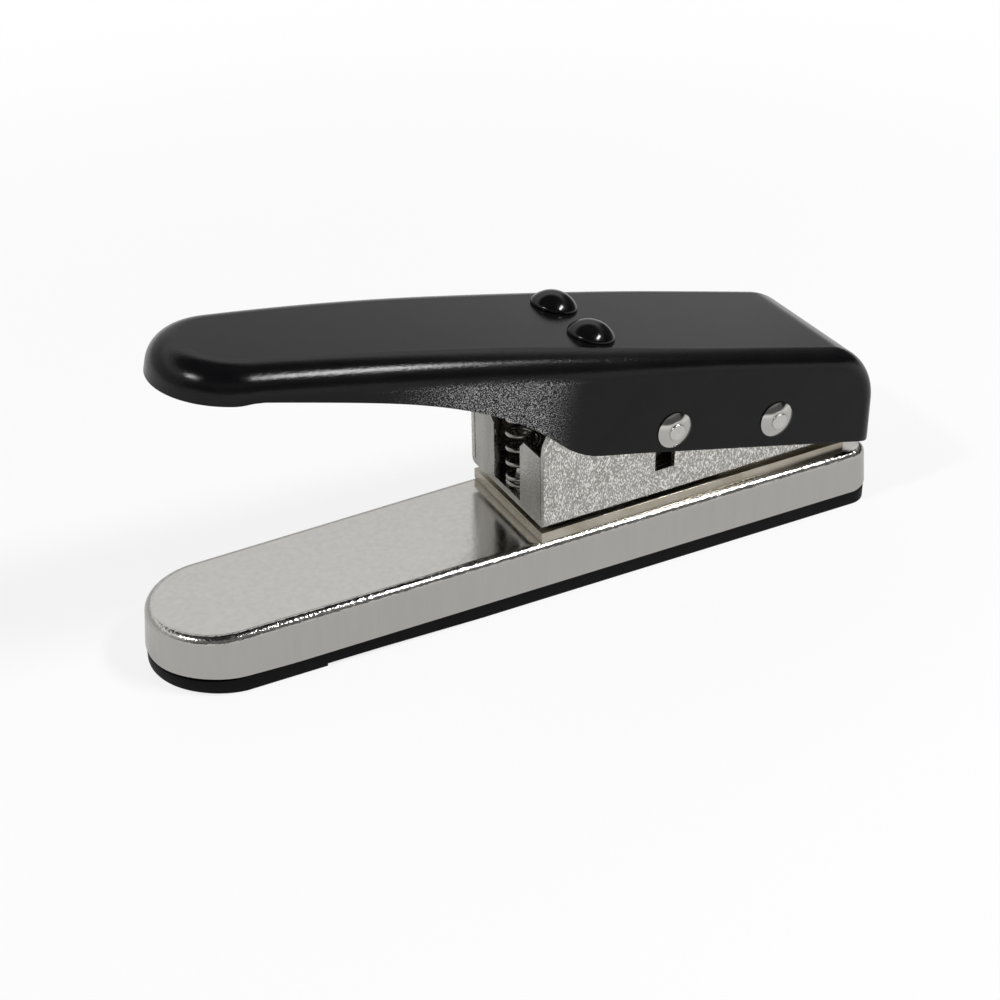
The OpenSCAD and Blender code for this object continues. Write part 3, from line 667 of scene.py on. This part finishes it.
def lifted_edge(loop, share):
    lifted = []
    for x, y, z in loop:
        nose = clamped((-base_len / 2 + nose_from - x) / nose_run)
        heel = clamped((x - base_len / 2 + heel_from) / heel_run)
        wave = 1 - wave_size + wave_size * math.sin(y / wave_len)
        lifted.append((x, y, z + edge_lift * share * max(wave * nose, heel)))
    return lifted


loops = [lifted_edge(loop_at(-base_flare * (1 - t), cover_top + wall_h * t), 1 - t) for t in wall_shares]
loops += [loop_at(base_edge_r * (1 - math.cos(a)), tray_top - base_edge_r * (1 - math.sin(a)))
          for a in np.linspace(0, math.pi / 2, bend_count)]
loops.append(loop_at(base_edge_r + flat_inset, tray_top))
tray = stacked_loops("pressed_base", loops, pick_outline(pick_gap), tray_top)
heights = [v.co.z / mm for v in tray.data.vertices]
bend_low, bend_high = tray_top - base_edge_r - 0.1, tray_top - 0.05
bend_grain, flat_grain = 1.8, 0.2
set_grain_and_glints(tray, [bend_grain if bend_low < z < bend_high else flat_grain for z in heights])
sheet_metal(tray, tray_wall, tray_rim_edge)
give(tray, nickel.material, "base", "nickel", "base_tray")

# %% [markdown]
# The black cover under the base is moulded, with a thumb relief in its lower edge. Its solid already
# has the main form, so it only needs the soft edges of a moulding, and an underside that rises a little
# towards the nose.

# %% Moulded cover
foot_r, foot_zone, nose_rise, rise_from, rise_run = 0.7, 0.8, 0.7, -70, 16


def soft_foot(bm):
    def underneath(edge):
        flat = sorted(abs(f.normal.z) for f in edge.link_faces)
        corner = len(flat) == 2 and flat[0] < 0.3 and flat[1] > 0.9
        return corner and all(v.co.z < foot_zone * mm for v in edge.verts)

    feet = [e for e in bm.edges if underneath(e)]
    bmesh.ops.bevel(bm, geom=feet, offset=foot_r * mm, offset_type="OFFSET", segments=4, profile=0.5,
                    affect="EDGES", clamp_overlap=True)
    for vert in bm.verts:
        ahead = clamped((rise_from * mm - vert.co.x) / (rise_run * mm))
        if vert.co.z < (foot_zone + 0.1) * mm:
            vert.co.z += nose_rise * mm * eased(ahead)
    print("foot edges:", len(feet))


cover = broken_edges("moulded_cover", "bottom_cover", moulded_edge, 3, first=soft_foot)
give(cover, plastic.material, "cover", "black_plastic", "bottom_cover")

# %% [markdown]
# The bracket is folded from one sheet. Where it is folded it has a bend radius about as large as the sheet
# is thick, and where it was sheared only a broken edge. The fold edges are found by their place and get a
# wide bevel before the narrow one goes round everything else.

# %% Folded bracket
bracket_low, bracket_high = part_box("punch_bracket")
fold_r, wall_zone = 1.5, 0.3


def fold_bends(bm):
    side, low = bracket_high.y, bracket_low.z

    def on_fold(edge):
        a, b = edge.verts[0].co, edge.verts[1].co
        along = abs(a.y - b.y) < 1e-6 and abs(abs(a.y) - side) < 1e-5
        return along and abs(a.z - low) < 1e-5 and abs(b.z - low) < 1e-5

    folds = [e for e in bm.edges if on_fold(e)]
    bmesh.ops.bevel(bm, geom=folds, offset=fold_r * mm, offset_type="OFFSET", segments=6, profile=0.5,
                    affect="EDGES", clamp_overlap=True)
    print("fold edges:", len(folds))


bracket = broken_edges("folded_bracket", "punch_bracket", sheared_edge, 3, first=fold_bends)
wall_y = bracket_high.y - wall_zone * mm
# Only the outer walls get the painted glint spots, bright marks standing in for the sparkle of light.
set_grain_and_glints(bracket, [float(abs(v.co.y) > wall_y) for v in bracket.data.vertices])
give(bracket, pressed.material, "base", "nickel_sheet", "punch_bracket")

# %% [markdown]
# The plates of the cutting head, the punch and its carrier are ground steel with narrow broken edges.

# %% Cutting head
for name, node, body in (
        ("ground_die_plate", "die_plate", "base"), ("ground_slot_spacer", "slot_spacer", "base"),
        ("ground_guide_plate", "guide_plate", "base"), ("pick_punch", "punch", "punch"),
        ("punch_block", "punch_carrier", "punch")):
    give(broken_edges(name, node, fine_edge), ground.material, body, "tool_steel", node)

# %% [markdown]
# Turned and plated small parts: the sleeve on the hinge pin, the rings beside the bracket, the peg and
# the seat of the spring, and the plate that holds the seat under the lever. The pegs inside the spring's
# ends narrow towards their tips, which leaves room when the pressed spring leans.

# %% Small plated parts
spring_x, spring_rest, peg_len, peg_taper, tip_zone = 2.7, 33.8, 5.0, 0.62, 0.1


def tapered_peg(tip_z):
    def narrow(bm):
        for vert in bm.verts:
            if abs(vert.co.z - tip_z * mm) < tip_zone * mm:
                vert.co.x = spring_x * mm + (vert.co.x - spring_x * mm) * peg_taper
                vert.co.y *= peg_taper
    return narrow


for name, node, body, first in (
        ("hinge_sleeve_tube", "hinge_sleeve", "base", None),
        ("lower_spring_peg", "spring_peg", "base", tapered_peg(floor_top + peg_len)),
        ("upper_spring_seat", "spring_seat", "handle", tapered_peg(floor_top + spring_rest - peg_len)),
        ("seat_plate", "spring_plate", "handle", None),
        ("hinge_spacer_rings", "hinge_rings", "handle", None),
        ("drive_spacer_rings", "drive_rings", "handle", None)):
    give(broken_edges(name, node, fine_edge, first=first), zinc.material, body, "zinc_steel", node)

# %% [markdown]
# Screws, nuts, washers, rivets and pins are all turned or stamped round an axis. One helper stacks
# rings: each ring has a height and a radius, and the radius may change with the angle, which gives hexes
# and driver recesses. Ring after ring is bridged, so one list of sizes is one fastener.

# %% Ring stacks
def hexagon(across):
    return lambda a: across / 2 / math.cos((a + math.pi / 6) % (math.pi / 3) - math.pi / 6)


def cross_recess(reach, slot):
    def radius(a):
        a = (a + math.pi / 4) % (math.pi / 2) - math.pi / 4
        return min(reach / math.cos(a), slot / 2 / max(abs(math.sin(a)), 1e-6))
    return radius


def ring_stack(name, rings, segments=48, closed=False):
    points, faces = [], []
    for radius, z in rings:
        for k in range(segments):
            a = 2 * math.pi * k / segments
            r = radius(a) if callable(radius) else radius
            points.append((r * math.cos(a), r * math.sin(a), z))
    count = len(rings)
    for i in range(count if closed else count - 1):
        for k in range(segments):
            a, b = i * segments + k, i * segments + (k + 1) % segments
            c, d = ((i + 1) % count) * segments + (k + 1) % segments, ((i + 1) % count) * segments + k
            faces.append((a, b, c, d))
    if not closed:
        faces += [tuple(range(segments))[::-1], tuple(range((count - 1) * segments, count * segments))]
    return piece_from(name, points, faces, Matrix.Scale(mm, 4))


# %% [markdown]
# Geometry Nodes repeat a fastener: the tree makes points on a small grid, puts the fastener on each,
# makes the copies real and gives them their finish. The grid's counts and spacings are named inputs of
# the tree, so sets of four screws and pairs of screws or rivets all come from the same tree. A small
# class adds the nodes that each tree here needs: its named inputs, its sums and its end.

# %% Geometry tree helper
class Tree:
    def __init__(self, name, output, **inputs):
        self.group = bpy.data.node_groups.new(name, "GeometryNodeTree")
        for label, kind in inputs.items():
            label = label.replace("_", " ")
            self.group.interface.new_socket(label, in_out="INPUT", socket_type="NodeSocket" + kind)
        self.group.interface.new_socket(output, in_out="OUTPUT", socket_type="NodeSocketGeometry")
        self.given = self.group.nodes.new("NodeGroupInput").outputs

    def node(self, kind, **sockets):
        made = self.group.nodes.new("GeometryNode" + kind)
        for label, source in sockets.items():
            self.group.links.new(source, made.inputs[label.replace("_", " ")])
        return made

    def maths(self, operation, *values):
        return maths(self.group, operation, *values)

    def position(self, x, y, z=None):
        made = self.group.nodes.new("ShaderNodeCombineXYZ")
        for label, source in (("X", x), ("Y", y), ("Z", z)):
            if source is not None:
                self.group.links.new(source, made.inputs[label])
        return made.outputs[0]

    def end(self, geometry):
        real = self.node("RealizeInstances", Geometry=geometry)
        finish = self.node("SetMaterial", Geometry=real.outputs[0], Material=self.given["Finish"])
        self.group.links.new(finish.outputs[0], self.group.nodes.new("NodeGroupOutput").inputs[0])
        return self.group


def set_inputs(modifier, values):
    keys = {s.name: s.identifier for s in modifier.node_group.interface.items_tree if s.in_out == "INPUT"}
    for label, value in values.items():
        modifier[keys[label]] = value


# %% Repeating tree
def make_repeat_tree():
    tree = Tree("repeat_on_grid", "Set", Fastener="Geometry", Count_X="Int", Count_Y="Int",
                Spacing_X="Float", Spacing_Y="Float", Finish="Material")
    count_x, count_y = tree.given["Count X"], tree.given["Count Y"]

    def centred(number, count, spacing):
        middle = tree.maths("DIVIDE", tree.maths("SUBTRACT", count, 1), 2)
        return tree.maths("MULTIPLY", tree.maths("SUBTRACT", number, middle), spacing)

    index = tree.node("InputIndex").outputs[0]
    column = tree.maths("MODULO", index, count_x)
    just_past = tree.maths("ADD", index, 0.01)
    row = tree.maths("FLOOR", tree.maths("DIVIDE", just_past, count_x))
    place = tree.position(centred(column, count_x, tree.given["Spacing X"]),
                          centred(row, count_y, tree.given["Spacing Y"]))
    grid = tree.node("Points", Count=tree.maths("MULTIPLY", count_x, count_y), Position=place)
    copies = tree.node("InstanceOnPoints", Points=grid.outputs[0], Instance=tree.given["Fastener"])
    return tree.end(copies.outputs[0])


def repeated(fastener, finish, counts, spacing, matrix):
    weld(fastener)
    modifier = add_modifier(fastener, "NODES", node_group=repeat_tree)
    set_inputs(modifier, {"Count X": counts[0], "Count Y": counts[1], "Spacing X": spacing[0] * mm,
                          "Spacing Y": spacing[1] * mm, "Finish": finish.material})
    freeze(fastener)
    fastener.data.transform(matrix)
    shade(fastener, 30)


repeat_tree = make_repeat_tree()
print("repeat tree has", len(repeat_tree.nodes), "nodes")

# %% [markdown]
# The bracket screws come up from inside the base, with pan heads and a cross recess; their hex nuts sit
# on the bracket floor. Small screws hold the guide plate, and two socket screws hold the punch.

# %% Screws and nuts
def at(x, y, z):
    return Matrix.Translation((x * mm, y * mm, z * mm))


def spots(node, head, height):
    low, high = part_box(node)
    spacing = (high - low) / mm - Vector((head, head, 0))
    return (spacing.x, spacing.y), at(*((low + high) / 2 / mm).xy, height)


pan_head, guide_head, cap_head, carrier_top = 7.2, 4.375, 6.4, 41.995
pan_screw = ring_stack("bracket_pan_screws", [
    (1.6, 10.0), (2.0, 9.6), (2.0, 0.0), (3.4, 0.0), (3.6, -0.25), (3.6, -0.9), (3.3, -1.7),
    (2.7, -2.2), (2.2, -2.4), (cross_recess(1.9, 0.8), -2.4), (cross_recess(1.2, 0.5), -1.2)])
repeated(pan_screw, zinc, (2, 2), *spots("bracket_screws", pan_head, tray_top - tray_wall))
give(pan_screw, zinc.material, "base", "zinc_steel", "bracket_screws")

hexa = hexagon(6.93)
hex_nut = ring_stack("bracket_hex_nuts", [
    (2.0, 0.0), (3.4, 0.0), (lambda a: min(hexa(a), 3.75), 0.25), (hexa, 0.6), (hexa, 2.6),
    (lambda a: min(hexa(a), 3.75), 2.95), (3.4, 3.2), (2.4, 3.2), (2.0, 2.9)], closed=True)
repeated(hex_nut, zinc, (2, 2), *spots("bracket_screws", pan_head, floor_top))
give(hex_nut, zinc.material, "base", "zinc_steel", "bracket_nuts")

small_screw = ring_stack("guide_pan_screws", [
    (1.0, -6.6), (1.25, -6.4), (1.25, 0.0), (2.1, 0.0), (2.18, 0.2), (2.18, 0.6), (1.95, 1.1),
    (1.5, 1.4), (1.3, 1.5), (cross_recess(1.2, 0.5), 1.5), (cross_recess(0.8, 0.35), 0.8)])
repeated(small_screw, zinc, (2, 2), *spots("guide_screws", guide_head, guide_top))
give(small_screw, zinc.material, "base", "zinc_steel", "guide_screws")

socket = hexagon(3)
cap_screw = ring_stack("carrier_cap_screws", [
    (1.7, -15.7), (2.0, -15.4), (2.0, 0.0), (3.05, 0.0), (3.2, 0.2), (3.2, 3.6), (2.85, 4.0),
    (1.9, 4.0), (socket, 3.9), (socket, 1.9), (0.4, 1.4)])
repeated(cap_screw, oxide, (2, 1), *spots("carrier_screws", cap_head, carrier_top))
give(cap_screw, oxide.material, "punch", "dark_screw", "carrier_screws")

# %% [markdown]
# A pair of glossy dome rivets holds the seat plate. A dome is a low cap on a short straight rim that sits
# on the coat, with a shank and a tail below. The pair is made flat, then turned with the lever.

# %% Dome rivets
dome_r, rim_z, cap_h = 5.46, 0.6, 2.9
dome_u, dome_pitch = -48.0, 16.5
cap_r = (dome_r ** 2 + cap_h ** 2) / (2 * cap_h)
dome_rings = [(2.6, -4.5), (3.4, -4.25), (3.4, -3.35), (2.0, -3.15), (2.0, 0.0), (dome_r - 0.1, 0.0),
              (dome_r - 0.02, 0.2), (dome_r, 0.45)]
dome_rings += [(cap_r * math.sin(a), rim_z + cap_h - cap_r + cap_r * math.cos(a))
               for a in np.linspace(math.asin(dome_r / cap_r) - 0.03, 0.03, 20)]
dome = ring_stack("dome_rivet_pair", dome_rings, 64)
repeated(dome, gloss, (1, 2), (0, dome_pitch), lever @ at(dome_u, 0, top_height(dome_u)))
give(dome, gloss.material, "handle", "black_gloss", "dome_rivets")

# %% [markdown]
# Each pin passes through the lever and has a cone washer under its riveted end on both sides. The
# washers are turned cones with a small flat rim, and the pin's end is spread and dented by the hammer.

# %% Pins and cone washers
cone = ring_stack("cone_washer", [
    (2.05, 0.0), (4.2, 0.0), (4.35, 0.12), (4.35, 0.3), (4.22, 0.42), (2.75, 1.26), (2.55, 1.32),
    (2.05, 1.32)], 64, closed=True)
rivet_end = [(2.0, 21.3), (2.03, 21.55), (1.98, 21.72), (1.84, 21.85), (1.6, 21.9), (1.1, 21.84),
             (0.6, 21.74), (0.2, 21.72)]
pin_rings = [(r, -y) for r, y in reversed(rivet_end)] + rivet_end
facing = Matrix.Rotation(math.radians(-90), 4, "X")
weld(cone)
for label, (x, z) in (("hinge", hinge), ("drive", drive)):
    pair = piece_from(label + "_cone_washers", [], [])
    bm = bmesh.new()
    for flip in (0, math.pi):
        bm.from_mesh(cone.data)
        fresh = bm.verts[-len(cone.data.vertices):]
        seat = at(x, 0, z) @ Matrix.Rotation(flip, 4, "Z") @ at(0, handle_half, 0) @ facing
        bmesh.ops.transform(bm, verts=fresh, matrix=seat)
    bm.to_mesh(pair.data)
    bm.free()
    shade(pair, 30)
    give(pair, bright.material, "handle", "bright_nickel", label + "_washers")
    pin = ring_stack(label + "_riveted_pin", pin_rings, 40)
    weld(pin)
    pin.data.transform(at(x, 0, z) @ facing)
    shade(pin, 40)
    give(pin, hammered.material, "handle", "pin_steel", label + "_pin")
bpy.data.objects.remove(cone)

# %% [markdown]
# The return spring follows a path, so Geometry Nodes draw it: a line is resampled, its points are wound
# round an axis, close at both ends and open between, and a circle is swept along it.

# %% Return spring
turn_points, wire_points = 40, 14


def make_spring_tree():
    tree = Tree("wound_spring", "Spring", Coil_Radius="Float", Wire_Radius="Float", Close_Turns="Float",
                Open_Turns="Float", Close_Pitch="Float", Open_Pitch="Float", Finish="Material")
    given, sums = tree.given, tree.maths
    close, opened, coil = given["Close Turns"], given["Open Turns"], given["Coil Radius"]
    turns = sums("ADD", opened, sums("MULTIPLY", close, 2))
    line = tree.node("CurvePrimitiveLine")
    count = sums("ADD", sums("MULTIPLY", turns, turn_points), 1)
    fine = tree.node("ResampleCurve", Curve=line.outputs[0], Count=count)
    turn = sums("MULTIPLY", tree.node("SplineParameter").outputs["Factor"], turns)
    angle = sums("MULTIPLY", turn, 2 * math.pi)
    first = sums("MINIMUM", turn, close)
    middle = sums("MINIMUM", sums("MAXIMUM", sums("SUBTRACT", turn, close), 0), opened)
    final = sums("MAXIMUM", sums("SUBTRACT", turn, sums("ADD", close, opened)), 0)
    rise = sums("ADD", sums("MULTIPLY", sums("ADD", first, final), given["Close Pitch"]),
                sums("MULTIPLY", middle, given["Open Pitch"]))
    place = tree.position(sums("MULTIPLY", sums("COSINE", angle), coil),
                          sums("MULTIPLY", sums("SINE", angle), coil), rise)
    wound = tree.node("SetPosition", Geometry=fine.outputs[0], Position=place)
    ring = tree.node("CurvePrimitiveCircle", Radius=given["Wire Radius"])
    ring.inputs["Resolution"].default_value = wire_points
    swept = tree.node("CurveToMesh", Curve=wound.outputs[0], Profile_Curve=ring.outputs[0])
    swept.inputs["Fill Caps"].default_value = True
    return tree.end(swept.outputs[0])


coil_r, wire_r, close_pitch, close_turns, open_turns = 3.55, 0.55, 1.35, 1.5, 7.5
open_pitch = (spring_rest - 2 * wire_r - 2 * close_turns * close_pitch) / open_turns
spring = piece_from("return_spring_coil", [], [])
winding = add_modifier(spring, "NODES", node_group=make_spring_tree())
set_inputs(winding, {"Coil Radius": coil_r * mm, "Wire Radius": wire_r * mm, "Close Turns": close_turns,
                     "Open Turns": open_turns, "Close Pitch": close_pitch * mm,
                     "Open Pitch": open_pitch * mm, "Finish": wire.material})
freeze(spring)
spring.data.transform(at(spring_x, 0, floor_top + wire_r))
shade(spring, 50)
give(spring, wire.material, "base", "spring_steel", "return_spring")
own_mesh(spring)

# %% [markdown]
# A wide pale floor carries the object. Light Path lets the floor show as white to the camera and in
# reflections, while it still takes the object's soft shadow. Near the object both shares are lower, and
# the glow that metal mirrors is dimmed there: painted shade, standing in for the object's shadow.

# %% Floor
floor = piece_from("studio_floor", [(-8, -8, 0), (8, -8, 0), (8, 8, 0), (-8, 8, 0)], [(0, 1, 2, 3)])
pale = Finish("pale_floor", (0.85, 0.85, 0.85), 0, 0.9, 0.1)
near, far = 0.12, 0.45
seen_near, mirrored_near, painted_shade_depth = 0.8, 0.75, 0.27
length = pale.node("ShaderNodeVectorMath", operation="LENGTH")
pale.link(pale.place, length.inputs[0])
away = length.outputs["Value"]
path = pale.node("ShaderNodeLightPath").outputs
mirrored = maths(pale.tree, "MAXIMUM", path["Is Glossy Ray"], path["Is Transmission Ray"])
seen = pale.times(path["Is Camera Ray"], pale.spread(away, seen_near, 1.0, near, far))
caught = pale.times(mirrored, pale.spread(away, mirrored_near, 1.0, near, far))
# Painted shade: near the object the glow that metal mirrors is dimmed, in place of the object's shadow.
painted_shade = pale.times(pale.times(mirrored, painted_shade_depth), pale.spread(away, 1.0, 0.0, near, far))
glow = pale.node("ShaderNodeEmission")
pale.link(maths(pale.tree, "SUBTRACT", 1.0, painted_shade), glow.inputs["Strength"])
lift = pale.node("ShaderNodeMixShader")
pale.link(maths(pale.tree, "MAXIMUM", seen, caught), lift.inputs["Fac"])
pale.link(pale.shader.outputs[0], lift.inputs[1])
pale.link(glow.outputs[0], lift.inputs[2])
pale.link(lift.outputs[0], pale.tree.nodes["Material Output"].inputs["Surface"])
floor.data.materials.append(pale.material)

# %% [markdown]
# Studio light: the world is a pale room with a brighter band high on its far side and a dark ceiling. Its
# near side is dim above a bright horizon, and two soft boxes hang in it. Rounded metal edges then show what
# such metal shows in a studio: a dark line, a bright line where a box is mirrored, and a dark line again.
# To the camera the world is plain white, like the floor.

# %% Light
world = bpy.data.worlds.new("studio_band")
scene.world = world
world.use_nodes = True
sky = world.node_tree
background = sky.nodes["Background"]
direction = sky.nodes.new("ShaderNodeTexCoord")
split = sky.nodes.new("ShaderNodeSeparateXYZ")
sky.links.new(direction.outputs["Generated"], split.inputs[0])


def along(axis, start, end, low, high):
    return soft_step(sky, split.outputs[axis], low, high, start, end)


band = maths(sky, "MULTIPLY", along("Z", 0.42, 0.54, 0.58, 1.12), along("Z", 0.66, 0.8, 1.0, 0.05))
sides = maths(sky, "MULTIPLY", along("Y", -0.45, 0.25, 0.22, 1.0), along("X", 0.66, 0.8, 1.0, 0.15))
horizon = maths(sky, "MULTIPLY", along("Z", 0.05, 0.2, 1.0, 0.0), along("Y", -0.4, 0.0, 1.0, 0.0))
room = maths(sky, "ADD", maths(sky, "MULTIPLY", band, sides), horizon)
ray = sky.nodes.new("ShaderNodeLightPath")
shown = sky.nodes.new("ShaderNodeMix")
shown.inputs["B"].default_value = 1.0
sky.links.new(ray.outputs["Is Camera Ray"], shown.inputs["Factor"])
sky.links.new(room, shown.inputs["A"])
sky.links.new(shown.outputs["Result"], background.inputs["Strength"])
background.inputs["Color"].default_value = (1, 1, 1, 1)
print("world has", len(sky.nodes), "nodes")

# %% Soft boxes
def soft_box(name, place, aim, size, power):
    lamp = bpy.data.lights.new(name, "AREA")
    lamp.shape = "RECTANGLE"
    lamp.size, lamp.size_y = size
    lamp.energy = power
    obj = bpy.data.objects.new(name, lamp)
    scene.collection.objects.link(obj)
    obj.location = place
    obj.rotation_euler = (Vector(aim) - Vector(place)).to_track_quat("-Z", "Y").to_euler()


soft_box("strip_box", (0.43, -0.42, 0.80), (0, 0, 0.03), (0.30, 0.10), 6.5)
soft_box("nose_box", (-0.68, -0.10, 0.74), (-0.07, 0, 0.06), (0.07, 0.07), 3.2)
scene.view_settings.view_transform = "Standard"
